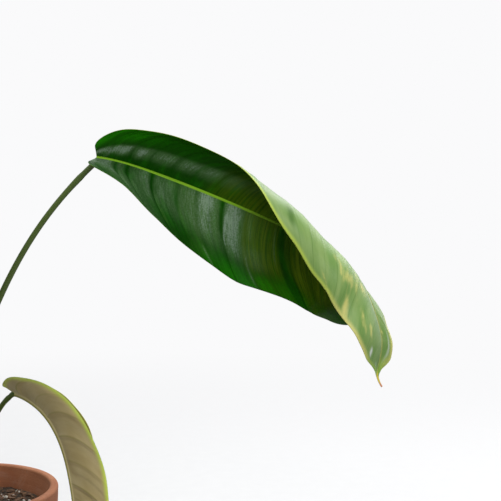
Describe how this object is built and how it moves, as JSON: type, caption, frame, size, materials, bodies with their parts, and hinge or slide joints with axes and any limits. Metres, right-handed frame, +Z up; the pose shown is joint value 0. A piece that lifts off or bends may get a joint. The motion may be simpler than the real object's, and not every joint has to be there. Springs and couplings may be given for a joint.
{
  "type": "potted philodendron patriciae",
  "caption": "Young climbing aroid in a plain clay pot, with long drooping leaves rippled along their side veins.",
  "frame": {"origin": "centre of the pot's flat underside, on the surface that it stands on", "axes": "+Z up along the pot's axis; +X the side that the pictured leaf reaches to; the picture looks along +Y"},
  "size_m": [0.6284, 0.4874, 0.4522],
  "materials": {
    "clay": "matte",
    "soil": "matte",
    "stem": "satin",
    "petiole": "satin",
    "blade": "satin",
    "old_blade": "satin",
    "spear": "satin",
    "sheath": "matte"
  },
  "bodies": {
    "root": {"pot": "clay", "soil": "soil", "stem": "stem", "spear": "spear", "sheath_1": "sheath", "sheath_2": "sheath", "leaf_1_petiole": "petiole", "leaf_1_blade": "blade", "leaf_2_petiole": "petiole", "leaf_2_blade": "old_blade", "leaf_3_petiole": "petiole", "leaf_3_blade": "blade", "leaf_4_petiole": "petiole", "leaf_4_blade": "blade", "leaf_5_petiole": "petiole", "leaf_5_blade": "blade", "leaf_6_petiole": "petiole", "leaf_6_blade": "blade", "leaf_7_petiole": "petiole", "leaf_7_blade": "blade"}
  },
  "joints": []
}
